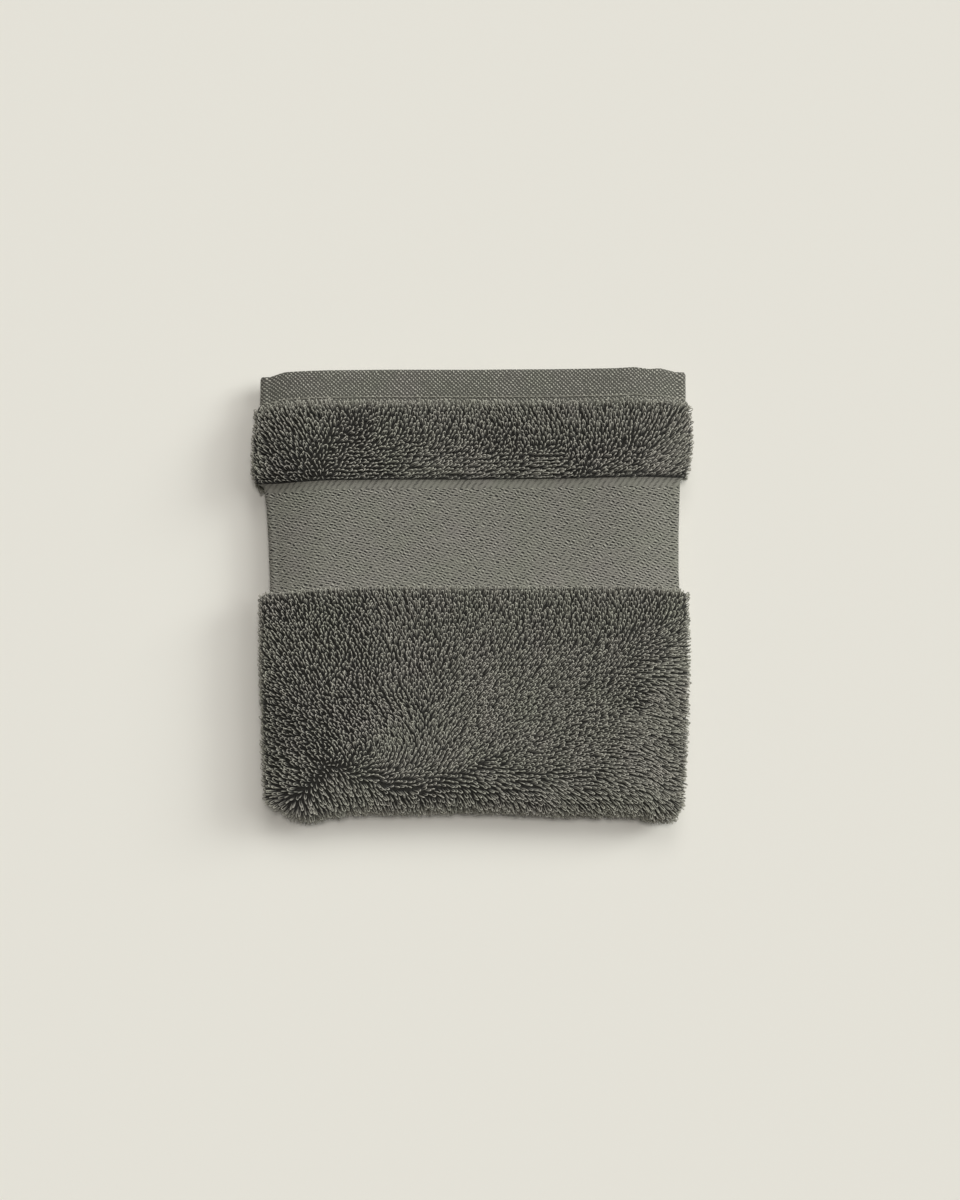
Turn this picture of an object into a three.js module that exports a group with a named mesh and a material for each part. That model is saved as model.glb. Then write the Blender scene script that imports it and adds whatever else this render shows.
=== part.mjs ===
// A looped terry washcloth, folded for the shelf: both sides are turned under to the middle,
// then the strip is folded in half behind itself. Millimetres, +Z up, on its back on a surface,
// with the hem of the front towards +Y, the last fold towards -Y and the folded sides at +X and -X.
import * as THREE from 'three';

// Thickness of the cloth in each of its weaves
const TERRY = 4.0;
const BORDER = 1.4;
const HEM = 2.4;
const HEM_EDGE = 1.4;
const SELVEDGE = 1.0;

// The stack: four layers, counted from the surface, a little apart
const LAYERS = 4;
const LAYER_PITCH = 4.6;
const STACK_MIDDLE = TERRY / 2 + (LAYER_PITCH * (LAYERS - 1)) / 2;
const STACK_TOP = TERRY + LAYER_PITCH * (LAYERS - 1);
const NEAR_LAYER = LAYER_PITCH / 2;
const FAR_LAYER = LAYER_PITCH * 1.5;

// The front, from the edge of its hem to the outermost of the last fold
const FRONT_LENGTH = 161;
const FOLD_START = FRONT_LENGTH - FAR_LAYER - TERRY / 2;
const BACK_SHORTER = 2.5;
const BACK_NARROWER = 1.5;

// How far the zones of the front reach to either side, how the loops brush out at the folded
// sides, and how deep the unsupported cloth sinks. `at` counts from the edge of the hem.
const ZONES = [
  { zone: 'hem', at: 0, left: 75.3, right: 76.0, thick: HEM_EDGE, brush: 0, sink: 3.6 },
  { zone: 'hem', at: 0.9, left: 75.9, right: 76.6, thick: HEM, brush: 0, sink: 3.5 },
  { zone: 'hem', at: 10.0, left: 75.9, right: 76.6, thick: HEM, brush: 0, sink: 2.6 },
  { zone: 'narrow terry', at: 11.2, left: 77.4, right: 78.4, thick: TERRY - 0.6, brush: 0.6, sink: 2.4 },
  { zone: 'narrow terry', at: 13.0, left: 78.9, right: 80.1, thick: TERRY, brush: 1.2, sink: 2.0 },
  { zone: 'narrow terry', at: 24.0, left: 79.5, right: 80.2, thick: TERRY, brush: 1.2, sink: 0.9 },
  { zone: 'narrow terry', at: 35.5, left: 79.7, right: 79.3, thick: TERRY, brush: 1.2, sink: 0.5 },
  { zone: 'narrow terry', at: 38.4, left: 78.6, right: 77.6, thick: TERRY - 0.4, brush: 1.0, sink: 0.6 },
  { zone: 'border', at: 39.4, left: 74.9, right: 74.9, thick: BORDER, brush: 0, sink: 0.9 },
  { zone: 'border', at: 47.0, left: 73.7, right: 74.3, thick: BORDER, brush: 0, sink: 1.8 },
  { zone: 'border', at: 59.0, left: 73.0, right: 74.0, thick: BORDER, brush: 0, sink: 2.2 },
  { zone: 'border', at: 71.0, left: 72.5, right: 74.0, thick: BORDER, brush: 0, sink: 1.8 },
  { zone: 'border', at: 77.2, left: 72.3, right: 74.5, thick: BORDER, brush: 0, sink: 0.9 },
  { zone: 'wide terry', at: 78.2, left: 76.1, right: 78.0, thick: TERRY - 0.4, brush: 1.0, sink: 0.5 },
  { zone: 'wide terry', at: 80.6, left: 77.3, right: 78.9, thick: TERRY, brush: 1.2, sink: 0.3 },
  { zone: 'wide terry', at: 107.0, left: 77.0, right: 79.0, thick: TERRY, brush: 1.2, sink: 0 },
  { zone: 'wide terry', at: 125.0, left: 76.2, right: 78.4, thick: TERRY, brush: 1.2, sink: 0 },
  { zone: 'wide terry', at: FOLD_START, left: 75.3, right: 77.2, thick: TERRY, brush: 1.2, sink: 0 },
];
const ZONE_NUMBERS = ['left', 'right', 'thick', 'brush', 'sink'];

// The last fold pulls its corners in
const CORNER_PULL = { left: 9.5, right: 1.2 };

// The lines across the cloth are not quite straight. Each row says how far they are pushed towards
// the hem, in one column for each line, at one share of the way to the folded side, -1 at the left.
const LINES = [
  { share: -1.0, hem: -2.1, band: -1.4, field: -2.1, fold: 0 },
  { share: -0.93, hem: -0.5, band: -1.4, field: -1.7, fold: 0.4 },
  { share: -0.85, hem: -0.2, band: -0.9, field: -1.3, fold: 1.9 },
  { share: -0.7, hem: 0.1, band: -0.2, field: -0.6, fold: 3.3 },
  { share: -0.4, hem: 0.3, band: 0, field: 0, fold: 3.8 },
  { share: 0, hem: 0.2, band: 0, field: 0, fold: 4.5 },
  { share: 0.14, hem: 0.3, band: 0.1, field: 0, fold: 4.2 },
  { share: 0.4, hem: 0.4, band: 0.3, field: 0, fold: 2.5 },
  { share: 0.7, hem: 0.8, band: 0.8, field: 0.1, fold: 1.6 },
  { share: 0.8, hem: 1.3, band: 1.0, field: 0.1, fold: 1.4 },
  { share: 0.86, hem: 0.6, band: 1.0, field: 0, fold: 1.1 },
  { share: 0.92, hem: 1.0, band: 0.9, field: -0.5, fold: 0.4 },
  { share: 1.0, hem: -0.3, band: 0.8, field: -1.2, fold: 0 },
];
// Where each of these lines lies, and where the cloth between two of them runs straight
const LINE_PLACES = [
  { at: 0, line: 'hem' },
  { at: 39.4, line: 'band' },
  { at: 78.2, line: 'field' },
  { at: 104, line: 'straight' },
  { at: FOLD_START, line: 'fold' },
];
// The lower layers are pulled in by this much of the fold's column
const LOWER_FOLD_SHARE = 0.6;

// The stack is crowned: it is lower towards its folded sides
const CROWN = { height: 4.2, from: 0.7 };

// A soft swell of the upper layers
const SWELL = { height: 0.45, acrossWave: 118, alongWave: 92, acrossStart: 0.7, alongStart: 2.1 };

// The turned-under sides stop short of each other in the middle
const SIDES_APART = 6;
const SELVEDGE_WIDTH = 3;

// How finely the cloth is faceted
const FLAP_STEPS = 4;
const FRONT_STEPS = 12;
const SIDE_FOLD_STEPS = 6;
const LAST_FOLD_STEPS = 10;
const LONGEST_STEP = 9;

const CLOTH_COLOUR = 0x55544b;

// The row of ZONES that holds at one distance from the hem, between its two neighbours
function zoneAt(at) {
  const after = Math.max(1, ZONES.findIndex((row) => row.at >= at));
  const [a, b] = [ZONES[after - 1], ZONES[after]];
  const share = THREE.MathUtils.clamp((at - a.at) / (b.at - a.at), 0, 1);
  const found = { at };
  for (const name of ZONE_NUMBERS) found[name] = THREE.MathUtils.lerp(a[name], b[name], share);
  return found;
}

// Distances from the hem at which one half is cut into facets: every row, and long spans between
function distances(shorter) {
  const rows = ZONES.map((row) => row.at + shorter).filter((at) => at < FOLD_START - 1);
  rows.push(FOLD_START);
  const found = [rows[0]];
  for (let i = 1; i < rows.length; i += 1) {
    const steps = Math.ceil((rows[i] - rows[i - 1]) / LONGEST_STEP);
    for (let s = 1; s <= steps; s += 1) {
      found.push(THREE.MathUtils.lerp(rows[i - 1], rows[i], s / steps));
    }
  }
  return found;
}

// Stations along the strip: the front, round the last fold, and the back to its own hem.
// Each has its place and the turn of its layers, from 0 on the front to PI on the back.
function stations() {
  const found = [];
  for (const at of distances(0)) found.push({ ...zoneAt(at), turn: 0, hemAway: at });
  for (let s = 1; s < LAST_FOLD_STEPS; s += 1) {
    const turn = (Math.PI * s) / LAST_FOLD_STEPS;
    const zone = zoneAt(FOLD_START);
    const pull = Math.sin(turn) ** 2;
    zone.left -= CORNER_PULL.left * pull + (BACK_NARROWER * turn) / Math.PI;
    zone.right -= CORNER_PULL.right * pull + (BACK_NARROWER * turn) / Math.PI;
    found.push({ ...zone, turn, hemAway: FOLD_START });
  }
  for (const at of distances(BACK_SHORTER).reverse()) {
    const zone = zoneAt(at - BACK_SHORTER);
    zone.left -= BACK_NARROWER;
    zone.right -= BACK_NARROWER;
    found.push({ ...zone, at, turn: Math.PI, hemAway: at - BACK_SHORTER });
  }
  return found;
}

// The cloth across one station, from one selvedge to the other: its middle line, the way that its
// outer face looks, and how far each face lies from the middle line. `share` is how far a point
// lies towards the folded side, from -1 at the left to 1 at the right.
function crossSection({ left, right, thick, brush }) {
  const found = [];
  const half = thick / 2;
  const flats = { [-1]: left - brush - half - NEAR_LAYER, 1: right - brush - half - NEAR_LAYER };
  const turned = (way) => {
    const flat = flats[way];
    const under = [];
    const edge = SIDES_APART / 2;
    const add = (x, face) => under.push({
      x: x * way, h: NEAR_LAYER, nx: 0, nh: -1, outer: face, inner: face, share: (x / flat) * way,
    });
    add(edge, Math.min(half, SELVEDGE / 2));
    for (let s = 0; s <= FLAP_STEPS; s += 1) {
      add(THREE.MathUtils.lerp(edge + SELVEDGE_WIDTH, flat, s / FLAP_STEPS), half);
    }
    for (let s = 1; s < SIDE_FOLD_STEPS; s += 1) {
      const angle = Math.PI * (s / SIDE_FOLD_STEPS - 0.5);
      const [nx, nh] = [Math.cos(angle), Math.sin(angle)];
      under.push({
        x: (flat + NEAR_LAYER * nx) * way,
        h: 2 * NEAR_LAYER + NEAR_LAYER * nh,
        nx: nx * way,
        nh,
        outer: half + brush * nx,
        inner: half,
        share: way,
      });
    }
    return under;
  };
  found.push(...turned(-1));
  for (let s = 0; s <= FRONT_STEPS; s += 1) {
    const closerAtSides = (1 - Math.cos((Math.PI * s) / FRONT_STEPS)) / 2;
    const x = THREE.MathUtils.lerp(-flats[-1], flats[1], closerAtSides);
    const share = x / flats[x < 0 ? -1 : 1];
    found.push({ x, h: FAR_LAYER, nx: 0, nh: 1, outer: half, inner: half, share });
  }
  found.push(...turned(1).reverse());
  return found;
}

// One line's push towards the hem at one share of the way across
function pushOf(line, share) {
  if (line === 'straight') return 0;
  const after = Math.max(1, LINES.findIndex((row) => row.share >= share));
  const [a, b] = [LINES[after - 1], LINES[after]];
  const part = THREE.MathUtils.clamp((share - a.share) / (b.share - a.share), 0, 1);
  return THREE.MathUtils.lerp(a[line], b[line], part);
}

// How far a place is pushed towards the hem, between the two lines it lies between
function pushAt(share, hemAway, turn) {
  const after = Math.max(1, LINE_PLACES.findIndex((row) => row.at >= hemAway));
  const [a, b] = [LINE_PLACES[after - 1], LINE_PLACES[after]];
  const part = THREE.MathUtils.smoothstep(hemAway, a.at, b.at);
  const lower = THREE.MathUtils.smoothstep(turn, 0, Math.PI / 2);
  const foldShare = THREE.MathUtils.lerp(1, LOWER_FOLD_SHARE, lower);
  const far = pushOf(b.line, share) * (b.line === 'fold' ? foldShare : 1);
  return THREE.MathUtils.lerp(pushOf(a.line, share), far, part);
}

// A point of the cloth, `off` from its middle line, in the settled stack
function settled(station, point, off) {
  const x = point.x + point.nx * off;
  const h = point.h + point.nh * off;
  const y = FRONT_LENGTH / 2 - station.at - h * Math.sin(station.turn);
  const z = STACK_MIDDLE + h * Math.cos(station.turn);
  const swell = SWELL.height * Math.sin((2 * Math.PI * x) / SWELL.acrossWave + SWELL.acrossStart)
    * Math.sin((2 * Math.PI * y) / SWELL.alongWave + SWELL.alongStart);
  const outward = Math.max(0, (Math.abs(point.share) - CROWN.from) / (1 - CROWN.from));
  const crown = CROWN.height * outward ** 2;
  const lift = (swell - station.sink - crown) * (z / STACK_TOP);
  return new THREE.Vector3(x, y + pushAt(point.share, station.hemAway, station.turn), z + lift);
}

// The closed skin of the cloth: its outer face, its inner face and the four edges between them
function clothGeometry() {
  const rows = stations();
  const positions = [];
  const outer = [];
  const inner = [];
  for (const station of rows) {
    const points = crossSection(station);
    outer.push(points.map((point) => positions.push(settled(station, point, point.outer)) - 1));
    inner.push(points.map((point) => positions.push(settled(station, point, -point.inner)) - 1));
  }
  const faces = [];
  const quad = (a, b, c, d) => faces.push(a, b, c, a, c, d);
  const lastRow = rows.length - 1;
  const lastPoint = outer[0].length - 1;
  for (let r = 0; r < lastRow; r += 1) {
    for (let p = 0; p < lastPoint; p += 1) {
      quad(outer[r][p], outer[r + 1][p], outer[r + 1][p + 1], outer[r][p + 1]);
      quad(inner[r][p], inner[r][p + 1], inner[r + 1][p + 1], inner[r + 1][p]);
    }
    quad(outer[r][0], inner[r][0], inner[r + 1][0], outer[r + 1][0]);
    quad(outer[r][lastPoint], outer[r + 1][lastPoint], inner[r + 1][lastPoint], inner[r][lastPoint]);
  }
  for (let p = 0; p < lastPoint; p += 1) {
    quad(outer[0][p], outer[0][p + 1], inner[0][p + 1], inner[0][p]);
    quad(outer[lastRow][p], inner[lastRow][p], inner[lastRow][p + 1], outer[lastRow][p + 1]);
  }
  const geometry = new THREE.BufferGeometry().setFromPoints(positions);
  geometry.setIndex(faces);
  geometry.computeVertexNormals();
  geometry.computeBoundingBox();
  const middle = geometry.boundingBox.getCenter(new THREE.Vector3());
  return geometry.translate(-middle.x, -middle.y, -geometry.boundingBox.min.z);
}

const washcloth = new THREE.Mesh(
  clothGeometry(),
  new THREE.MeshStandardMaterial({ color: CLOTH_COLOUR, roughness: 0.95, metalness: 0 }),
);
washcloth.name = 'washcloth';

const object = new THREE.Group();
object.add(washcloth);

export default object;
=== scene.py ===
import math

import bpy
import numpy as np
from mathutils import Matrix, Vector


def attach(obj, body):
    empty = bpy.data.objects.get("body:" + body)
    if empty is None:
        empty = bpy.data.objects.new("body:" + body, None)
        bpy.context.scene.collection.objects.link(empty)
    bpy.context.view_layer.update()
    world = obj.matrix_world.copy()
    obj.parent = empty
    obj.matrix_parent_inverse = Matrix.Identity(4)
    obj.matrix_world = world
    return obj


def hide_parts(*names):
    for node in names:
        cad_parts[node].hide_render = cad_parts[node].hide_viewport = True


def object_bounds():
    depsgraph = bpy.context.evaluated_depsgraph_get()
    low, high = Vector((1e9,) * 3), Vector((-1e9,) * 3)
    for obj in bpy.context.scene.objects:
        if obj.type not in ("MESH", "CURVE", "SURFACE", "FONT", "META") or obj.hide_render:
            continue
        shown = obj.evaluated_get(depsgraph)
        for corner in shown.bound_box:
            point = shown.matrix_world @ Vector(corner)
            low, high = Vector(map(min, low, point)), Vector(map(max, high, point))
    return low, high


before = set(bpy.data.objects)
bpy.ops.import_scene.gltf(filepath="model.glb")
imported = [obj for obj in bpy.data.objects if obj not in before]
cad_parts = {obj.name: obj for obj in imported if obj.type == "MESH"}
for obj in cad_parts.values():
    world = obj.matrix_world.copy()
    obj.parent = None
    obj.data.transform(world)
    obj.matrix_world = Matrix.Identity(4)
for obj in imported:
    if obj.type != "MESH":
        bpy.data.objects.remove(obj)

solid_low, solid_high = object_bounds()

# The view. The cloth lies on a table and is looked at from straight above, through a long lens,
# a little off its middle. Sizes here are in metres, but for the sensor's.
view_centre = (0.0026, -0.0020)
view_width_seen = 0.426
view_distance = 1.0
sensor_millimetres = 36.0
camera = bpy.data.objects.new("camera", bpy.data.cameras.new("camera"))
bpy.context.collection.objects.link(camera)
camera.data.sensor_width = sensor_millimetres
camera.data.lens = sensor_millimetres * view_distance / view_width_seen
camera.location = (*view_centre, solid_high.z + view_distance)
bpy.context.scene.camera = camera


# The woven cloth. One length of cotton, woven flat at its hems and its borders and with a hidden
# ground under its loops. Its sides are turned under to the middle, then the strip is folded in
# half behind itself.

# Sizes are in millimetres: `across` counts from the middle of the front, `along` from the edge of
# the front's hem, over the front, round the last fold and back
MM = 0.001
# From one of the four layers to the next, and how thick a layer is with its loops
layer_pitch = 4.6
terry_thick = 4.0
stack_middle = terry_thick / 2 + layer_pitch * 1.5
stack_top = terry_thick + layer_pitch * 3
# The sides turn round a near layer and the strip round a far one, and each turn is half a circle
near_layer = layer_pitch / 2
far_layer = layer_pitch * 1.5
side_turn = math.pi * near_layer
last_turn = math.pi * far_layer
# The back is a little shorter and narrower than the front, and the last fold's corners pull in
front_length = 161.0
fold_start = front_length - far_layer - terry_thick / 2
back_shorter = 2.5
back_narrower = 1.5
corner_pull = {"left": 9.5, "right": 1.2}
cloth_length = 2 * fold_start + last_turn - back_shorter
# The gap in the middle of the pack, between the two sides that are turned under
sides_apart = 3.0

# The reach of the woven cloth to either side, half its thickness, and how deep it sinks
CLOTH = [
    {"at": 0.0, "left": 75.4, "right": 76.1, "half": 0.8, "sink": 3.6},
    {"at": 0.9, "left": 75.9, "right": 76.6, "half": 1.2, "sink": 3.5},
    {"at": 9.4, "left": 75.9, "right": 76.6, "half": 1.2, "sink": 2.7},
    {"at": 10.2, "left": 75.7, "right": 76.4, "half": 0.8, "sink": 2.6},
    {"at": 11.4, "left": 76.8, "right": 77.4, "half": 0.5, "sink": 2.4},
    {"at": 24.0, "left": 78.1, "right": 78.2, "half": 0.5, "sink": 0.9},
    {"at": 35.5, "left": 78.1, "right": 77.3, "half": 0.5, "sink": 0.5},
    {"at": 38.9, "left": 77.0, "right": 75.8, "half": 0.5, "sink": 0.7},
    {"at": 40.4, "left": 74.5, "right": 74.5, "half": 0.6, "sink": 1.1},
    {"at": 47.0, "left": 73.7, "right": 74.3, "half": 0.7, "sink": 1.8},
    {"at": 59.0, "left": 73.0, "right": 74.0, "half": 0.7, "sink": 2.2},
    {"at": 71.0, "left": 72.5, "right": 74.0, "half": 0.7, "sink": 1.8},
    {"at": 77.2, "left": 72.3, "right": 74.3, "half": 0.6, "sink": 0.9},
    {"at": 78.6, "left": 75.4, "right": 76.6, "half": 0.5, "sink": 0.5},
    {"at": 107.0, "left": 75.4, "right": 77.0, "half": 0.5, "sink": 0.0},
    {"at": 125.0, "left": 74.7, "right": 76.4, "half": 0.5, "sink": 0.0},
    {"at": fold_start, "left": 73.9, "right": 75.2, "half": 0.5, "sink": 0.0},
]

# The lines across the cloth are not quite straight: how far each is pushed towards the hem, at one
# share of the way to the folded side, -1 at the left
LINES = [
    {"share": -1.0, "hem": -2.1, "band": -1.4, "field": -2.1, "fold": 0.0},
    {"share": -0.93, "hem": -0.5, "band": -1.4, "field": -1.7, "fold": -0.5},
    {"share": -0.85, "hem": -0.2, "band": -0.9, "field": -1.3, "fold": 1.7},
    {"share": -0.7, "hem": 0.1, "band": -0.2, "field": -0.6, "fold": 4.5},
    {"share": -0.4, "hem": 0.3, "band": 0.0, "field": 0.0, "fold": 4.6},
    {"share": 0.0, "hem": 0.2, "band": 0.0, "field": 0.0, "fold": 5.4},
    {"share": 0.14, "hem": 0.3, "band": 0.1, "field": 0.0, "fold": 5.1},
    {"share": 0.4, "hem": 0.4, "band": 0.3, "field": 0.0, "fold": 3.2},
    {"share": 0.7, "hem": 0.8, "band": 0.8, "field": 0.1, "fold": 2.9},
    {"share": 0.8, "hem": 1.3, "band": 1.0, "field": 0.1, "fold": 3.0},
    {"share": 0.86, "hem": 0.6, "band": 1.0, "field": 0.0, "fold": 2.2},
    {"share": 0.92, "hem": 1.0, "band": 0.9, "field": -0.5, "fold": -0.2},
    {"share": 1.0, "hem": -0.3, "band": 0.8, "field": -1.2, "fold": -1.2},
]
# Where those lines lie along the cloth, and the share of its push that the last fold's lower edge has
LINE_PLACES = {"hem": 0.0, "band": 39.4, "field": 78.2, "straight": 104.0, "fold": fold_start}
lower_fold_share = 0.6
# The sides sink below the middle from this share of the way out, and a long low wave runs over all
crown = {"height": 4.2, "from": 0.7}
swell = {
    "height": 0.45,
    "across_wave": 118.0,
    "along_wave": 92.0,
    "across_start": 0.7,
    "along_start": 2.1,
}

# The row frame has its zero in the middle of the solid's box
widest_left = 79.7
shift_across = solid_low.x / MM + widest_left
shift_along = solid_low.y / MM + front_length / 2


def smooth(value, low, high):
    """0 below low, 1 above high, and an even rise between them."""
    share = np.clip((value - low) / (high - low), 0, 1)
    return share * share * (3 - 2 * share)


def cloth_at(distance, column):
    """One column of CLOTH at these distances from the hem."""
    return np.interp(distance, [row["at"] for row in CLOTH], [row[column] for row in CLOTH])


def station(along):
    """Where each point lies along the strip: its distance from its own hem, its distance from the
    front's hem as laid, and the turn of its layers, from 0 on the front to pi on the back."""
    turn = np.clip((along - fold_start) / far_layer, 0, math.pi)
    laid = np.minimum(along, fold_start) - np.maximum(along - fold_start - last_turn, 0)
    own = laid - back_shorter * (along > fold_start + last_turn)
    return own, laid, turn


def flat_reach(along, side):
    """How far the flat part of the front reaches, before the side's fold begins."""
    own, _, turn = station(along)
    pull = corner_pull[side] * np.sin(turn) ** 2 + back_narrower * turn / math.pi
    return cloth_at(own, side) - cloth_at(own, "half") - near_layer - pull


def push(share, own, turn):
    """How far a place is pushed towards the hem, between the two lines it lies between."""
    at = [row["share"] for row in LINES]
    at_line = {
        name: np.interp(share, at, [row[name] for row in LINES])
        for name in ("hem", "band", "field", "fold")
    }
    at_line["straight"] = np.zeros(np.shape(share))
    at_line["fold"] *= 1 - (1 - lower_fold_share) * smooth(turn, 0, math.pi / 2)
    names = list(LINE_PLACES)
    pushed = at_line[names[0]]
    for before, after in zip(names, names[1:]):
        part = smooth(own, LINE_PLACES[before], LINE_PLACES[after])
        pushed = pushed + (at_line[after] - at_line[before]) * part
    return pushed


def cloth_points(across, along, lift):
    """Points of the folded cloth, `lift` out of its middle surface, in metres in the row frame."""
    own, laid, turn = station(along)
    way = np.where(across < 0, -1.0, 1.0)
    flat = np.where(across < 0, flat_reach(along, "left"), flat_reach(along, "right"))
    past = np.abs(across) - flat
    angle = np.clip(past / near_layer, 0, math.pi)
    under = np.maximum(past - side_turn, 0)
    x = way * (np.minimum(np.abs(across), flat) + (near_layer + lift) * np.sin(angle) - under)
    height = 2 * near_layer + (near_layer + lift) * np.cos(angle)
    y = front_length / 2 - laid - height * np.sin(turn)
    z = stack_middle + height * np.cos(turn)
    wave = np.sin(2 * np.pi * x / swell["across_wave"] + swell["across_start"])
    wave *= np.sin(2 * np.pi * y / swell["along_wave"] + swell["along_start"])
    share = np.clip(x / flat, -1, 1)
    outward = np.maximum(0, (np.abs(share) - crown["from"]) / (1 - crown["from"]))
    z += (swell["height"] * wave - cloth_at(own, "sink") - crown["height"] * outward ** 2) * z / stack_top
    y += push(share, own, turn) + shift_along
    x += shift_across
    return np.stack([x, y, z], axis=-1) * MM


def new_piece(name, points, faces, material):
    """A mesh object in the row frame, riding on the part's one body."""
    mesh = bpy.data.meshes.new(name)
    mesh.vertices.add(len(points))
    mesh.vertices.foreach_set("co", np.asarray(points, np.float32).ravel())
    mesh.loops.add(faces.size)
    mesh.loops.foreach_set("vertex_index", faces.astype(np.int32).ravel())
    mesh.polygons.add(len(faces))
    mesh.polygons.foreach_set("loop_start", np.arange(0, faces.size, faces.shape[1], dtype=np.int32))
    mesh.polygons.foreach_set("use_smooth", np.full(len(faces), True))
    mesh.update(calc_edges=True)
    mesh.materials.append(material)
    piece = bpy.data.objects.new(name, mesh)
    bpy.context.collection.objects.link(piece)
    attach(piece, "root")
    return piece


def give_map(piece, name, values):
    """A UV map from one pair of values for each vertex."""
    mesh = piece.data
    corners = np.empty(len(mesh.loops), np.int32)
    mesh.loops.foreach_get("vertex_index", corners)
    layer = mesh.uv_layers.new(name=name)
    layer.data.foreach_set("uv", np.asarray(values, np.float32)[corners].ravel())


def node(tree, kind, inputs=(), **settings):
    """A shader node with its settings, and its inputs linked or set."""
    made = tree.nodes.new(kind)
    for key, value in settings.items():
        setattr(made, key, value)
    for key, value in dict(inputs).items():
        if isinstance(value, bpy.types.NodeSocket):
            tree.links.new(value, made.inputs[key])
        else:
            made.inputs[key].default_value = value
    return made


def maths(tree, operation, a, b=None, c=None):
    """One step of arithmetic between values or sockets."""
    given = {i: value for i, value in enumerate((a, b, c)) if value is not None}
    return node(tree, "ShaderNodeMath", given, operation=operation).outputs[0]


def vector_maths(tree, operation, a, b):
    """One step of arithmetic between vectors, or for SCALE between a vector and a number."""
    second = "Scale" if operation == "SCALE" else 1
    return node(tree, "ShaderNodeVectorMath", {0: a, second: b}, operation=operation).outputs[0]


def split(tree, vector):
    """The sockets of a vector's three numbers."""
    return node(tree, "ShaderNodeSeparateXYZ", {0: vector}).outputs


def new_group(name, inputs, outputs):
    """A shader node group with named inputs and outputs. Gives the tree and its two end nodes."""
    tree = bpy.data.node_groups.new(name, "ShaderNodeTree")
    for side, sockets in (("INPUT", inputs), ("OUTPUT", outputs)):
        for label, kind in sockets.items():
            tree.interface.new_socket(label, in_out=side, socket_type="NodeSocket" + kind)
    return tree, tree.nodes.new("NodeGroupInput"), tree.nodes.new("NodeGroupOutput")


# Marks on a slanting lattice, as the floats of yarn and the pits between them make on the border
# and the hem: an oval for each, turned a little at random and more or less strong. Their height gives
# the weave's bump and its painted light and shade.
floats, given, made = new_group(
    "yarn floats",
    {
        "Cloth": "Vector",
        "Start": "Vector",
        "Step Across": "Vector",
        "Step Along": "Vector",
        "Length": "Float",
        "Width": "Float",
        "Slant": "Float",
        "Turning": "Float",
        "Unevenness": "Float",
    },
    {"Height": "Float"},
)
wobble = node(
    floats,
    "ShaderNodeTexNoise",
    {"Vector": given.outputs["Cloth"], "Scale": 0.35, "Detail": 3.0},
)
centred = vector_maths(floats, "SUBTRACT", wobble.outputs["Color"], (0.5, 0.5, 0.5))
pushed = vector_maths(floats, "SCALE", centred, given.outputs["Unevenness"])
started = vector_maths(floats, "ADD", given.outputs["Cloth"], given.outputs["Start"])
place = split(floats, vector_maths(floats, "ADD", started, pushed))
step_a = split(floats, given.outputs["Step Across"])
step_b = split(floats, given.outputs["Step Along"])


def products(operation, a, b, c, d):
    """a times b, and c times d added to it or taken from it."""
    return maths(
        floats,
        operation,
        maths(floats, "MULTIPLY", a, b),
        maths(floats, "MULTIPLY", c, d),
    )


# The place counted in steps of the lattice, and how far it is from the nearest mark's middle
size = products("SUBTRACT", step_a[0], step_b[1], step_a[1], step_b[0])
count_a = maths(floats, "DIVIDE", products("SUBTRACT", place[0], step_b[1], place[1], step_b[0]), size)
count_b = maths(floats, "DIVIDE", products("SUBTRACT", place[1], step_a[0], place[0], step_a[1]), size)
cell_a = maths(floats, "ROUND", count_a)
cell_b = maths(floats, "ROUND", count_b)
rest_a = maths(floats, "SUBTRACT", count_a, cell_a)
rest_b = maths(floats, "SUBTRACT", count_b, cell_b)
off_x = products("ADD", rest_a, step_a[0], rest_b, step_b[0])
off_y = products("ADD", rest_a, step_a[1], rest_b, step_b[1])

# Each mark's own slant and strength, and its dome over an oval
cell = node(floats, "ShaderNodeCombineXYZ", {0: cell_a, 1: cell_b})
chance = node(
    floats,
    "ShaderNodeTexWhiteNoise",
    {"Vector": cell.outputs[0]},
    noise_dimensions="3D",
)
both = split(floats, chance.outputs["Color"])
turned = maths(floats, "MULTIPLY", maths(floats, "SUBTRACT", both[0], 0.5), given.outputs["Turning"])
slant = maths(floats, "ADD", given.outputs["Slant"], turned)
cosine = maths(floats, "COSINE", slant)
sine = maths(floats, "SINE", slant)
lengthwise = maths(
    floats,
    "DIVIDE",
    products("ADD", off_x, cosine, off_y, sine),
    given.outputs["Length"],
)
sideways = maths(
    floats,
    "DIVIDE",
    products("SUBTRACT", off_y, cosine, off_x, sine),
    given.outputs["Width"],
)
far_out = products("ADD", lengthwise, lengthwise, sideways, sideways)
dome = maths(floats, "SQRT", maths(floats, "MAXIMUM", maths(floats, "SUBTRACT", 1.0, far_out), 0.0))
strength = maths(floats, "MULTIPLY_ADD", both[1], 0.7, 0.3)
floats.links.new(maths(floats, "MULTIPLY", dome, strength), made.inputs["Height"])


# Cotton dyed in the piece: one grey-green with faint warm and cool patches, made lighter or darker
# by its Shade: each loop's own tone, together with the painted light and shade given to a weave's
# figures, along each loop, on the hidden ground and on the thread.
cotton, given, made = new_group(
    "dyed cotton",
    {"Place": "Vector", "Colour": "Color", "Shade": "Float"},
    {"Colour": "Color"},
)
patches = node(
    cotton,
    "ShaderNodeTexNoise",
    {"Vector": given.outputs["Place"], "Scale": 75.0, "Detail": 2.0},
)
warmth = node(
    cotton,
    "ShaderNodeMix",
    {0: patches.outputs["Fac"], 6: (0.93, 0.98, 0.9, 1), 7: (1.07, 1.01, 1.08, 1)},
    data_type="RGBA",
)
tinted = node(
    cotton,
    "ShaderNodeMix",
    {0: 1.0, 6: given.outputs["Colour"], 7: warmth.outputs[2]},
    data_type="RGBA",
    blend_type="MULTIPLY",
)
shaded = vector_maths(cotton, "SCALE", tinted.outputs[2], given.outputs["Shade"])
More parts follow.
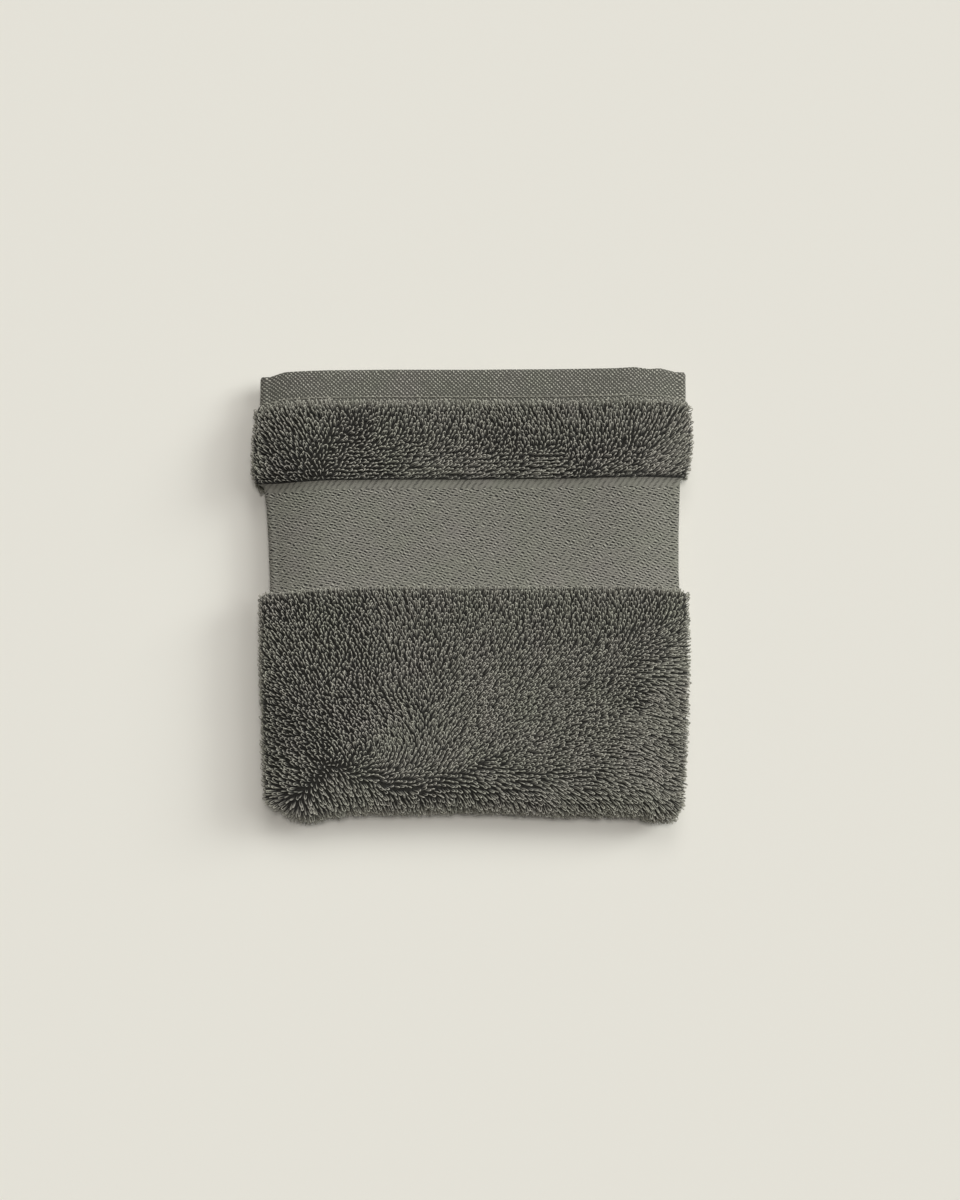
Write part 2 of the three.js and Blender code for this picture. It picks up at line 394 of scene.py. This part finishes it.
cotton.links.new(shaded, made.inputs["Colour"])

yarn_colour = (0.262, 0.255, 0.214, 1)
# The painted shade of the ground between the loops, for the shade deep in the pile, and the least that a
# weave's painted shade in its pits may reach
deepest_painted_shade = 0.12


def cotton_material(name, weave=None, yarn=None, shade=1.0):
    """Matt cotton: plain, all in painted shade or painted highlight where `shade` is not 1, with a
    weave's figures in painted light and shade, or yarn in painted shade at its roots and painted light at
    its tips.
    """
    material = bpy.data.materials.new(name)
    material.use_nodes = True
    tree = material.node_tree
    shader = tree.nodes["Principled BSDF"]
    shader.inputs["Roughness"].default_value = 0.92
    shader.inputs["Specular IOR Level"].default_value = 0.2
    shader.inputs["Sheen Weight"].default_value = 0.12
    shader.inputs["Sheen Roughness"].default_value = 0.6
    coordinates = node(tree, "ShaderNodeTexCoord")
    colour = node(tree, "ShaderNodeGroup", node_tree=cotton)
    tree.links.new(coordinates.outputs["Object"], colour.inputs["Place"])
    colour.inputs["Colour"].default_value = yarn_colour
    colour.inputs["Shade"].default_value = shade
    tree.links.new(colour.outputs["Colour"], shader.inputs["Base Color"])
    # Painted shade towards each loop's root and painted light at its tip, from the Yarn map, times the
    # loop's own tone
    if yarn:
        along_yarn = node(tree, "ShaderNodeUVMap", uv_map="Yarn")
        parts = split(tree, along_yarn.outputs["UV"])
        light = node(
            tree,
            "ShaderNodeMapRange",
            {
                "Value": parts[1],
                "From Min": 0.1,
                "From Max": 1.0,
                "To Min": yarn["root"],
                "To Max": yarn["tip"],
            },
        )
        tone = maths(tree, "MULTIPLY_ADD", parts[0], 0.4, 0.8)
        tree.links.new(maths(tree, "MULTIPLY", light.outputs[0], tone), colour.inputs["Shade"])
    if weave:
        cloth = node(tree, "ShaderNodeUVMap", uv_map="Cloth")
        # A weave's figures are painted into the colour, as painted highlights on its floats and painted
        # shade in its pits, over the same relief as a bump
        relief_and_painted_light = 0.0
        for figure in weave["figures"]:
            pattern = node(tree, "ShaderNodeGroup", node_tree=floats)
            tree.links.new(cloth.outputs["UV"], pattern.inputs["Cloth"])
            for label, value in {**weave["lattice"], **figure}.items():
                if label != "light":
                    pattern.inputs[label].default_value = value
            relief_and_painted_light = maths(tree, "MULTIPLY_ADD", pattern.outputs["Height"], figure["light"], relief_and_painted_light)
        shown = maths(tree, "MAXIMUM", maths(tree, "ADD", relief_and_painted_light, weave["base"]), deepest_painted_shade)
        tree.links.new(shown, colour.inputs["Shade"])
        bump = node(tree, "ShaderNodeBump", {"Height": relief_and_painted_light, "Distance": 0.0003})
        tree.links.new(bump.outputs["Normal"], shader.inputs["Normal"])
    return material


# The ground under the loops is the yarn's own cotton, painted dark as painted shade
ground_in_painted_shade = cotton_material("hidden ground", shade=deepest_painted_shade)
# Each weave's base tone, the lattice its figures stand on, and the figures: painted highlights on floats
# where light, painted shade in pits where dark
border_weave = {
    "base": 0.86,
    "lattice": {
        "Step Across": (1.65, -0.5, 0),
        "Step Along": (0.7, 0.8, 0),
        "Turning": 0.9,
        "Unevenness": 1.6,
    },
    "figures": [
        {"Length": 0.72, "Width": 0.27, "Slant": -0.12, "light": -1.35},
        {"Length": 0.66, "Width": 0.3, "Slant": -0.1, "light": 0.95, "Start": (0.5, 0.5, 0)},
    ],
}
# Beside the narrow terry the border's figure starts with one row of slanting floats
edge_weave = {
    "base": 0.86,
    "lattice": {
        "Step Across": (2.1, 0, 0),
        "Step Along": (0.9, 1.2, 0),
        "Turning": 0.3,
        "Unevenness": 0.5,
    },
    "figures": [{"Length": 1.3, "Width": 0.3, "Slant": 0.68, "light": -0.5}],
}
hem_weave = {
    "base": 0.34,
    "lattice": {
        "Step Across": (1.45, 0, 0),
        "Step Along": (0.72, 0.71, 0),
        "Turning": 1.4,
        "Unevenness": 1.2,
    },
    "figures": [{"Length": 0.48, "Width": 0.31, "Slant": -0.7, "light": 1.9}],
}
border_material = cotton_material("border weave", border_weave)
hem_material = cotton_material("hem weave", hem_weave)
edge_material = cotton_material("border edge weave", edge_weave)

# Where the weaves change, counted from each end's own hem. At the back the border shows a little
# wider, as the sparser loops there leave more of it bare.
hem_to = 12.6
border_from, border_to = 39.4, 78.0
edge_weave_to = 42.2
back_border_wider = 2


def steps(*spans):
    """Even steps over spans of (start, end, count), each end once."""
    parts = [np.linspace(start, end, count, endpoint=False) for start, end, count in spans]
    return np.append(np.concatenate(parts), spans[-1][1])


# The mesh's lines, closest where the cloth bends or its weave changes
half_along = steps(
    (0, 0.9, 3),
    (0.9, 9.4, 6),
    (9.4, hem_to, 7),
    (hem_to, 38.5, 12),
    (38.5, edge_weave_to, 6),
    (edge_weave_to, 76, 14),
    (76, 78.5, 4),
    (78.5, fold_start, 26),
)
along_lines = np.concatenate([
    half_along,
    np.linspace(fold_start, fold_start + last_turn, 22)[1:-1],
    cloth_length - half_along[half_along < fold_start - back_shorter][::-1],
])
across_lines = np.concatenate([
    steps((-1, -0.96, 2), (-0.96, -0.02, 12), (-0.02, 0, 1))[:-1] - 2,
    steps((-2, -1, 12))[:-1],
    np.sin(np.linspace(-math.pi / 2, math.pi / 2, 49)),
    steps((1, 2, 12))[1:],
    steps((0, 0.02, 1), (0.02, 0.96, 12), (0.96, 1, 2))[1:] + 2,
])
# Inside the pack the ground alone stands in for ground and loops, this far out from its middle
hidden_face = 1.9
# How thin the cloth is at its selvedges, as a share of its thickness
selvedge_thin = 0.35


def across_from_share(share, along):
    """A share from -3 to 3 as a distance across: 1 is where the side's fold begins, 2 where it ends."""
    flat = np.where(share < 0, flat_reach(along, "left"), flat_reach(along, "right"))
    size = np.abs(share)
    reach = np.minimum(size, 1) * flat
    reach += np.clip(size - 1, 0, 1) * side_turn + np.clip(size - 2, 0, 1) * (flat - sides_apart)
    return reach * np.sign(share)


share_grid, along_grid = np.meshgrid(across_lines, along_lines)
across_grid = across_from_share(share_grid, along_grid)
own_grid, _, _ = station(along_grid)
half_grid = cloth_at(own_grid, "half")
looped = ((own_grid > hem_to) & (own_grid < border_from)) | (own_grid > border_to)
selvedge = smooth(3 - np.abs(share_grid), 0, 0.03)
thinned = selvedge_thin + (1 - selvedge_thin) * selvedge
turned_in = smooth(np.abs(share_grid), 2.1, 2.2)
outer_lift = half_grid + np.where(looped, (hidden_face - half_grid) * turned_in, 0)
inner_lift = np.where(looped, hidden_face, half_grid)
outer_points = cloth_points(across_grid, along_grid, outer_lift * thinned)
inner_points = cloth_points(across_grid, along_grid, -inner_lift * thinned)
index = np.arange(share_grid.size).reshape(share_grid.shape)
top = np.stack([index[:-1, :-1], index[1:, :-1], index[1:, 1:], index[:-1, 1:]], -1).reshape(-1, 4)
under = top[:, ::-1] + share_grid.size
rim = np.concatenate([index[0, :-1], index[:-1, -1], index[-1, :0:-1], index[:0:-1, 0]])
following = np.roll(rim, -1)
edge = np.stack([rim, following, following + share_grid.size, rim + share_grid.size], -1)
corners = np.concatenate([top, under, edge])
cloth = new_piece(
    "woven_cloth",
    np.concatenate([outer_points.reshape(-1, 3), inner_points.reshape(-1, 3)]),
    corners,
    ground_in_painted_shade,
)
for material in (border_material, hem_material, edge_material):
    cloth.data.materials.append(material)
along_of_vertex = np.tile(along_grid.ravel(), 2)
own_of_vertex, _, _ = station(along_of_vertex)
own_of_face = own_of_vertex[corners].mean(axis=1)
on_back = along_of_vertex[corners].mean(axis=1) > fold_start + last_turn
bordered = (own_of_face > border_from - back_border_wider * on_back) & (own_of_face < border_to)
slots = np.where(bordered, 1, 0)
slots = np.where(own_of_face < hem_to, 2, slots)
slots = np.where((own_of_face > border_from) & (own_of_face < edge_weave_to), 3, slots)
cloth.data.polygons.foreach_set("material_index", slots.astype(np.int32))
flat_place = np.stack([across_grid, -along_grid], -1).reshape(-1, 2)
give_map(cloth, "Cloth", np.concatenate([flat_place, flat_place]))
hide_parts("washcloth")


# The hem's seam. The hem is turned under twice and held by one line of lockstitch in the same
# colour, close to its inner edge, on the front and on the back.

# Its place and one stitch's sizes: how high its middle stands over the cloth's, and how much
# lower its ends do
stitch = {
    "from_edge": 9.7,
    "reach": 76.0,
    "pitch": 2.7,
    "length": 2.3,
    "radius": 0.18,
    "sides": 5,
    "lift": 1.25,
    "ends_dip": 0.3,
}
# Yarn that would reach into the table is pressed flat on it, in millimetres above it
on_table = {"below": 0.35, "level": 0.3, "slope": 0.1, "lowest": 0.02}


def unit(vectors):
    """The same directions, each of length 1."""
    return vectors / np.linalg.norm(vectors, axis=-1, keepdims=True)


def strands(name, line, level, radius, sides, material):
    """Open tubes along many lines at once, in one mesh. `level` is square to each line's bend."""
    heading = unit(np.gradient(line, axis=1))
    other = unit(np.cross(heading, level[:, None]))
    level = np.cross(other, heading)
    turns = (np.arange(sides) + 0.5) * 2 * np.pi / sides
    ring = np.cos(turns)[:, None] * level[:, :, None] + np.sin(turns)[:, None] * other[:, :, None]
    points = line[:, :, None] + radius * ring
    high = points[..., 2]
    flattened = on_table["level"] + high * on_table["slope"]
    points[..., 2] = np.maximum(np.where(high > on_table["below"], high, flattened), on_table["lowest"])
    grid = np.arange(points[..., 0].size).reshape(points.shape[:3])
    after = np.roll(grid, -1, axis=2)
    walls = np.stack([grid[:, :-1], after[:, :-1], after[:, 1:], grid[:, 1:]], -1).reshape(-1, 4)
    return new_piece(name, points.reshape(-1, 3) * MM, walls, material)


stitch_middles = np.arange(-stitch["reach"], stitch["reach"], stitch["pitch"])[:, None]
stitch_share = np.linspace(-1, 1, 7)[None, :]
stitch_across = stitch_middles + stitch_share * stitch["length"] / 2
stitch_lift = stitch["lift"] - stitch["ends_dip"] * stitch_share ** 4
stitch_level = np.broadcast_to((0.0, 1.0, 0.0), (len(stitch_middles), 3))
# The thread is the cloth's own colour, painted lighter as a painted highlight along the seam's ridge
thread_painted_lighter = cotton_material("sewing thread", shade=1.35)


def seam(name, along):
    """One line of lockstitch across the cloth."""
    place = np.full(stitch_across.shape, along)
    line = cloth_points(stitch_across, place, stitch_lift) / MM
    return strands(name, line, stitch_level, stitch["radius"], stitch["sides"], thread_painted_lighter)


seams = [
    seam("seam_front", stitch["from_edge"]),
    seam("seam_back", cloth_length - stitch["from_edge"]),
]


# The loops. Each is one turn of soft pile yarn that stands up out of the ground and leans with
# the nap, as hands and folding have left it. They stand close together on every outer face, and
# those underneath, pressed on the table, are made coarser.

# For each grade: how thick its yarn is, how far apart its loops stand, how much shorter they are
# round the sides, and the path of one loop. That gives for each ring of the yarn how far up the
# loop it lies, and how far out to its side.
FINE = {
    "radius": 0.195,
    "across": 1.48,
    "along": 1.28,
    "sides": 4,
    "shorter_at_side": 1.6,
    "path": (
        (0, 0.45), (0.42, 0.85), (0.78, 1.0), (0.98, 0.55),
        (0.98, -0.55), (0.78, -1.0), (0.42, -0.85), (0, -0.45),
    ),
}
COARSE = {
    "radius": 0.34,
    "across": 1.72,
    "along": 1.72,
    "sides": 3,
    "shorter_at_side": 0.5,
    "path": ((0, 0.6), (0.6, 1.0), (0.98, 0.5), (0.98, -0.5), (0.6, -1.0), (0, -0.6)),
}
# How a loop stands and differs from its neighbours, with its leans and twist in radians, and how
# much shorter it is at the border and round the last fold
loop = {
    "root_depth": 0.2,
    "past_side": 3.5,
    "out_of_row": 0.16,
    "length": 3.3,
    "length_spread": 0.28,
    "shorter_at_border": 0.9,
    "shorter_at_fold": 0.5,
    "half_width": 0.42,
    "width_spread": 0.05,
    "narrower_open": 0.03,
    "least_lean": 0.06,
    "most_lean": 1.3,
    "lean_spread": 0.09,
    "more_spread_at_side": 0.1,
    "more_spread_at_fold": 0.14,
    "root_leans": 0.45,
    "tip_leans": 1.35,
    "twist": 1.4,
    "twist_spread": 0.25,
}
# Where the loops begin and end, counted from each end's own hem
band_from, band_to, field_from = 12.8, 39.2, 78.8
# The band's last loops before the border are shorter and in painted shade, over this much of its length,
# and the back has none there. The back's wide field goes on a little past its edge.
band_end = 1.8
back_field_past = 0.7
# How far the outermost loops lean over the flat weave beside them, in radians, and from how far in.
# At the band it is less and less towards the right.
fringe = {"band": 0.9, "less_to_right": 0.0045, "field": 0.95, "from_edge": 2.6}
# How flat the loops lie round the cloth's sides, in radians
side_lean = {"left": 1.05, "right": 0.8}

# How the nap lies on the front: the place in millimetres from the middle, which way it leans
# (0 is right, 90 is towards the hem), how many degrees from upright, how openly its loops face
# the way they lean rather than sideways, and how far that reaches in millimetres
NAP = [
    # x, y, toward, lean, open, reach
    # the narrow band
    (-61, 67, 113, 40, 0.3, 7), (-50, 67, 112, 38, 0.3, 6), (-71, 61, 118, 34, 0.2, 7),
    (-61, 59, 105, 31, 0.15, 7), (-52, 60, 102, 30, 0.2, 6), (-76, 52, 120, 34, 0.2, 6),
    (-76, 45, 128, 34, 0.2, 6), (-69, 49, 105, 19, 0.1, 6), (-61, 47, 95, 19, 0.1, 6),
    (-65, 44, 130, 19, 0.1, 5), (-43, 59, 15, 28, 0.3, 6), (-49, 51, 32, 31, 0.2, 6),
    (-40, 49, 10, 30, 0.3, 6), (-43, 65, 95, 25, 0.5, 6), (-29, 57, 45, 35, 0.5, 7),
    (-25, 65, 100, 40, 0.6, 8), (-12, 61, 92, 40, 0.5, 8), (-11, 53, 35, 45, 0.4, 8),
    (-25, 50, 20, 42, 0.4, 7), (-39, 43, 18, 37, 0.2, 6), (-16, 43, 22, 60, 0.2, 8),
    (6, 43, 18, 60, 0.2, 8), (28, 43, 10, 60, 0.2, 8), (50, 43, 28, 60, 0.2, 7),
    (10, 65, 118, 50, 0.3, 6), (1, 60, 100, 42, 0.5, 7), (10, 54, 80, 25, 0.6, 8),
    (22, 60, 108, 40, 0.5, 7), (35, 60, 93, 48, 0.3, 8), (48, 62, 90, 45, 0.3, 8),
    (37, 51, 95, 25, 0.5, 8), (54, 51, 60, 25, 0.4, 6), (63, 59, 80, 40, 0.3, 6),
    (68, 68, 90, 50, 0.3, 6), (74, 60, 55, 55, 0.2, 6), (70, 52, 40, 60, 0.15, 6),
    (70, 46, 35, 66, 0.15, 6), (63, 45, 35, 60, 0.15, 5),
    # the wide field
    (-73, -3, 100, 28, 0.2, 8), (-75, -20, 122, 42, 0.15, 7), (-75, -33, 124, 25, 0.15, 8),
    (-75, -44, 126, 24, 0.15, 6), (-61, -8, 94, 32, 0.3, 10), (-56, -21, 98, 32, 0.25, 10),
    (-43, -11, 100, 30, 0.4, 10), (-41, -23, 95, 31, 0.3, 9), (-26, -11, 105, 50, 0.5, 9),
    (-22, -24, 88, 44, 0.5, 9), (-8, -11, 75, 45, 0.8, 11), (19, -8, 80, 46, 0.85, 13),
    (46, -7, 92, 46, 0.7, 11), (65, -4, 95, 45, 0.4, 8), (72, -5, 70, 45, 0.4, 6),
    (1, -24, 58, 54, 0.9, 10), (24, -24, 50, 54, 0.85, 10), (46, -21, 50, 50, 0.85, 9),
    (62, -20, 30, 40, 0.7, 7), (71, -16, 38, 55, 0.3, 7), (71, -25, 2, 66, 0.2, 7),
    (63, -27, 355, 55, 0.3, 5), (65, -35, 333, 62, 0.2, 7), (55, -32, 30, 44, 0.6, 6),
    (58, -37, 10, 16, 0.2, 4), (71, -40, 343, 60, 0.3, 7), (41, -41, 30, 52, 0.8, 9),
    (24, -41, 38, 54, 0.9, 9), (6, -36, 45, 52, 0.9, 9), (60, -48, 350, 58, 0.6, 9),
    (71, -53, 347, 58, 0.4, 8), (41, -55, 26, 52, 0.7, 9), (19, -55, 35, 50, 0.7, 9),
    (7, -49, 46, 50, 0.8, 8), (37, -60, 18, 52, 0.7, 7), (63, -60, 348, 60, 0.5, 8),
    (50, -65, 345, 58, 0.4, 8), (68, -67, 345, 58, 0.4, 7), (50, -72, 325, 66, 0.2, 7),
    (65, -74, 328, 64, 0.3, 6), (32, -72, 330, 66, 0.2, 7), (10, -71, 340, 52, 0.2, 8),
    (-8, -71, 338, 36, 0.2, 6), (-25, -72, 335, 36, 0.2, 5), (-40, -70, 312, 53, 0.15, 6),
    (-49, -69, 306, 53, 0.15, 7),
    # the whorl
    (-29, -44, 125, 35, 0.5, 5), (-34, -48, 122, 35, 0.4, 5), (-22, -48, 108, 50, 0.4, 4),
    (-27, -52, 112, 54, 0.4, 5), (-24, -58, 80, 58, 0.4, 4), (-15, -55, 80, 58, 0.4, 4),
    (-13, -49, 62, 52, 0.4, 4), (-17, -62, 42, 58, 0.4, 5), (-9, -61, 46, 58, 0.4, 5),
    (-10, -43, 55, 50, 0.4, 4), (-24, -62, 45, 58, 0.4, 4), (-32, -58, 62, 54, 0.4, 4),
    (-38, -61, 45, 50, 0.4, 4), (-42, -54, 105, 34, 0.4, 5), (-29, -65, 38, 50, 0.4, 4),
    (-17, -67, 28, 46, 0.4, 4), (-42, -63, 45, 42, 0.4, 4), (-31, -73, 322, 46, 0.3, 4),
    (-43, -71, 312, 53, 0.2, 5), (-34, -54, 85, 48, 0.7, 4), (-44, -43, 118, 26, 0.4, 6),
    # the left of the last fold
    (-57, -56, 120, 22, 0.2, 5), (-57, -62, 120, 34, 0.2, 5), (-49, -67, 305, 44, 0.15, 4),
    (-46, -69, 308, 53, 0.15, 5), (-53, -49, 118, 22, 0.3, 5), (-60, -50, 122, 20, 0.2, 5),
    (-67, -49, 124, 18, 0.1, 5), (-71, -58, 127, 20, 0.1, 5), (-63, -65, 124, 30, 0.1, 4),
    (-72, -66, 132, 34, 0.1, 4), (-64, -69, 140, 26, 0.1, 3), (-53, -72, 308, 44, 0.2, 4),
    (-69, -74, 195, 48, 0.1, 4), (-57, -75, 300, 48, 0.2, 4), (-66, -77, 225, 48, 0.2, 4),
    (-60, -76, 285, 44, 0.2, 4), (-47, -58, 95, 32, 0.4, 4),
]


# How open all loops are, how much more the most open ones are, and how steeply a place's reach ends
least_open = 0.22
more_open = 0.42
reach_share = 0.62


def nap_on_front(x, y):
    """The lean of the nap as a vector, its length the lean in radians, and how open the loops are."""
    total = np.full(x.shape, 1e-6)
    right, up, openness = np.zeros((3, *x.shape))
    for place_x, place_y, toward, lean, is_open, reach in NAP:
        away = (x - place_x) ** 2 + (y - place_y) ** 2
        weight = np.exp(-away / (2 * (reach_share * reach) ** 2))
        right += weight * math.radians(lean) * math.cos(math.radians(toward))
        up += weight * math.radians(lean) * math.sin(math.radians(toward))
        openness += weight * is_open
        total += weight
    return right / total, up / total, least_open + more_open * openness / total


def nap_on_back(x, y):
    """The nap of the underside, pressed down by the weight of the pack."""
    toward = 1.2 + 0.9 * np.sin(x / 17) + 0.8 * np.sin(y / 13 + 1)
    lean = math.radians(74)
    return lean * np.cos(toward), lean * np.sin(toward)


# The looped yarn runs from painted shade at its roots (0.02) to painted light at its tips (1.66)
loop_material = cotton_material("looped yarn", yarn={"root": 0.02, "tip": 1.66})


def plant(along_from, along_to, grade, chance):
    """Where the loops of one stretch stand, in rows that lie half a step apart in turn, and how far
    the flat part reaches there."""
    row_count = round((along_to - along_from) / grade["along"])
    row_lines = np.linspace(along_from, along_to, row_count + 1)[:-1]
    row_lines += (row_lines[1] - row_lines[0]) / 2
    column_lines = np.arange(-90, 90, grade["across"])
    across, along = np.meshgrid(column_lines, row_lines)
    across = across + (np.arange(len(row_lines)) % 2)[:, None] * grade["across"] / 2
    across = (across + chance.normal(0, loop["out_of_row"], across.shape)).ravel()
    along = (along + chance.normal(0, loop["out_of_row"], along.shape)).ravel()
    along = np.clip(along, along_from + 0.3, along_to - 0.3)
    flat = np.where(across < 0, flat_reach(along, "left"), flat_reach(along, "right"))
    kept = np.abs(across) < flat + side_turn + loop["past_side"]
    return across[kept], along[kept], flat[kept]


def rings_of_loops(root, normal, lean_way, lean, length, width, twist, path):
    """The middle of the yarn at each ring of each loop, bent over the way that the loop leans."""
    rise, out_share = np.array(path).T[:, None, :]
    first_lean = lean * loop["root_leans"]
    bend = (loop["tip_leans"] * lean - first_lean)[:, None]
    angle = first_lean[:, None] + bend * rise
    high = length[:, None] * (np.sin(angle) - np.sin(first_lean)[:, None]) / bend
    out = length[:, None] * (np.cos(first_lean)[:, None] - np.cos(angle)) / bend
    spread = width[:, None] * out_share
    tilt = np.cos(angle)[..., None] * lean_way[:, None] - np.sin(angle)[..., None] * normal[:, None]
    cross_way = np.cross(normal, lean_way)
    apart = np.cos(twist)[:, None, None] * cross_way[:, None] + np.sin(twist)[:, None, None] * tilt
    line = root[:, None] + high[..., None] * normal[:, None] + out[..., None] * lean_way[:, None]
    return line + spread[..., None] * apart


# The light on the yarn. A root has some where its loop leans far, and more beside a flat weave. A
# tip has less where its loop is upright, and again before the border.
yarn_light = {
    "root": 0.36,
    "more_by_weave": 0.3,
    "upright_tip": 0.82,
    "more_leaning": 0.18,
    "less_by_border": 0.4,
}


def light_along(rise, lean, turn, inside, ending):
    """How much light reaches the yarn from its root to its tip. A loop that leans far lies over its
    neighbours, in the light along its whole length."""
    lit = np.maximum(smooth(lean, 0.75, 1.3), 1 - inside) * (1 - ending)
    lit = np.maximum(lit, smooth(turn, 0.3, 0.8))
    at_root = (yarn_light["root"] + yarn_light["more_by_weave"] * (1 - inside)) * lit
    at_tip = yarn_light["upright_tip"] + yarn_light["more_leaning"] * smooth(lean, 0.28, 0.5)
    at_tip *= 1 - yarn_light["less_by_border"] * ending
    return rise ** 1.25 * at_tip[:, None] + (1 - rise) * at_root[:, None]


def loops(name, along_from, along_to, seed, grade=FINE):
    """One stretch of loops over the front of the strip and round both its folded sides."""
    chance = np.random.default_rng(seed)
    across, along, flat = plant(along_from, along_to, grade, chance)
    count = len(across)
    own, _, turn = station(along)
    lift = cloth_at(own, "half") - loop["root_depth"]
    small = 0.05
    root = cloth_points(across, along, lift) / MM
    side_way = unit(cloth_points(across + small, along, lift) - cloth_points(across - small, along, lift))
    hem_way = unit(cloth_points(across, along - small, lift) - cloth_points(across, along + small, lift))
    normal = unit(np.cross(side_way, hem_way))
    right, up, openness = nap_on_front(root[:, 0], root[:, 1])
    back_right, back_up = nap_on_back(root[:, 0], root[:, 1])
    behind = smooth(turn, math.pi * 0.5, math.pi)
    right = right * (1 - behind) + back_right * behind
    up = up * (1 - behind) + back_up * behind
    # the first loops after a flat weave lean out over it, and those round the sides lie flat
    from_weave = np.minimum(np.abs(own - band_from), np.abs(own - field_from))
    inside = smooth(from_weave, 0.0, fringe["from_edge"])
    at_band = fringe["band"] - fringe["less_to_right"] * root[:, 0]
    up = up * inside + np.where(own < border_to, at_band, fringe["field"]) * (1 - inside)
    ending = smooth(own, band_to - band_end, band_to) * (own < band_to)
    beside = smooth((np.abs(across) - flat) / side_turn, 0.0, 0.3)
    pressed = np.where(across < 0, side_lean["left"], side_lean["right"])
    press = 1 + (pressed / np.maximum(np.hypot(right, up), 0.3) - 1) * beside
    right, up = right * press, up * press
    # round the last fold they spread and stand out
    spread_out = smooth(turn, 0.25, 0.9) * (1 - smooth(turn, 1.9, 2.4))
    right, up = right * (1 - 0.4 * spread_out), up * (1 - 0.4 * spread_out)
    uneven = loop["lean_spread"] + loop["more_spread_at_fold"] * spread_out
    uneven += loop["more_spread_at_side"] * beside
    right += chance.normal(0, 1, count) * uneven
    up += chance.normal(0, 1, count) * uneven
    lean = np.clip(np.hypot(right, up), loop["least_lean"], loop["most_lean"])
    lean_way = unit(right[:, None] * side_way + up[:, None] * hem_way)
    length = loop["length"] - loop["shorter_at_border"] * ending - loop["shorter_at_fold"] * spread_out
    length += chance.normal(0, loop["length_spread"], count) - grade["shorter_at_side"] * beside
    width = loop["half_width"] - loop["narrower_open"] * openness
    width += chance.normal(0, loop["width_spread"], count)
    twist = (1 - openness) * loop["twist"] * chance.choice([-1, 1], count)
    twist += chance.normal(0, loop["twist_spread"], count)
    line = rings_of_loops(root, normal, lean_way, lean, length, width, twist, grade["path"])
    ring_count = line.shape[1]
    level = np.cross(line[:, -1] - line[:, 0], line[:, ring_count // 2] - line[:, 0])
    piece = strands(name, line, level, grade["radius"], grade["sides"], loop_material)
    # the yarn's own tone, and the light on it, for each point
    rise = np.array([ring[0] for ring in grade["path"]])[None, :]
    in_light = light_along(rise, lean, turn, inside, ending)
    shape = (count, ring_count, grade["sides"])
    tone = np.broadcast_to(chance.random(count)[:, None, None], shape)
    light = np.broadcast_to(in_light[..., None], shape)
    give_map(piece, "Yarn", np.stack([tone, light], -1).reshape(-1, 2))
    return piece


# The front's wide field and the last fold are made in parts, so that no piece grows too large
upper_to, middle_to = 102.8, 127.4
fold_part = fold_start + 17
back_field_to = cloth_length - field_from + back_field_past
back_band_from = cloth_length - band_to + band_end
piles = [
    loops("loops_narrow_front", band_from, band_to, 11),
    loops("loops_wide_front_upper", field_from, upper_to, 12),
    loops("loops_wide_front_middle", upper_to, middle_to, 13),
    loops("loops_wide_front_lower", middle_to, fold_start, 14),
    loops("loops_last_fold", fold_start, fold_part, 15),
    loops("loops_wide_back", fold_part, back_field_to, 16, COARSE),
    loops("loops_narrow_back", back_band_from, cloth_length - band_from, 17, COARSE),
]


# The table and the light. A plain pale surface under four soft lamps: one overhead, one towards
# the hem, and two lower at the right.
floor = bpy.data.objects.new("table", bpy.data.meshes.new("table"))
reach = 3.0
table_corners = [(-reach, -reach, 0), (reach, -reach, 0), (reach, reach, 0), (-reach, reach, 0)]
floor.data.from_pydata(table_corners, [], [(0, 1, 2, 3)])
bpy.context.collection.objects.link(floor)
table = bpy.data.materials.new("pale table")
table.use_nodes = True
table_shader = table.node_tree.nodes["Principled BSDF"]
table_shader.inputs["Base Color"].default_value = (0.853, 0.829, 0.75, 1)
table_shader.inputs["Roughness"].default_value = 0.8
floor.data.materials.append(table)

# Where each lamp stands, as its distance right and towards the hem for one unit of height, how
# wide it looks in degrees, and how much it lights the table
LAMPS = [
    {
        "name": "overhead", "right": 0.05, "up": 0.18, "width": 12,
        "light": 0.95, "tint": (1.02, 0.99, 0.985),
    },
    {
        "name": "high", "right": 0.1, "up": 0.9, "width": 30,
        "light": 0.5, "tint": (1.0, 1.0, 1.0),
    },
    {
        "name": "near side", "right": 1.0, "up": 0.45, "width": 40,
        "light": 0.7, "tint": (0.98, 1.0, 1.01),
    },
    {
        "name": "far side", "right": 2.0, "up": 0.85, "width": 24,
        "light": 0.5, "tint": (0.96, 1.01, 1.01),
    },
]
for row in LAMPS:
    lamp = bpy.data.objects.new(row["name"], bpy.data.lights.new(row["name"], "SUN"))
    toward = Vector((row["right"], row["up"], 1.0)).normalized()
    lamp.data.angle = math.radians(row["width"])
    lamp.data.energy = row["light"] / toward.z
    lamp.data.color = row["tint"]
    lamp.rotation_euler = toward.to_track_quat("Z", "Y").to_euler()
    bpy.context.collection.objects.link(lamp)
world = bpy.data.worlds.new("glow")
world.use_nodes = True
glow = world.node_tree.nodes["Background"]
glow.inputs["Color"].default_value = (0.97, 0.94, 0.86, 1)
seen = node(world.node_tree, "ShaderNodeLightPath")
# The glow lights the scene faintly, and is brighter where the camera sees it
glow_light = 0.07
glow_seen_more = 0.7
strength = maths(
    world.node_tree,
    "MULTIPLY_ADD",
    seen.outputs["Is Camera Ray"],
    glow_seen_more,
    glow_light,
)
world.node_tree.links.new(strength, glow.inputs["Strength"])
bpy.context.scene.world = world
bpy.context.scene.view_settings.view_transform = "Standard"
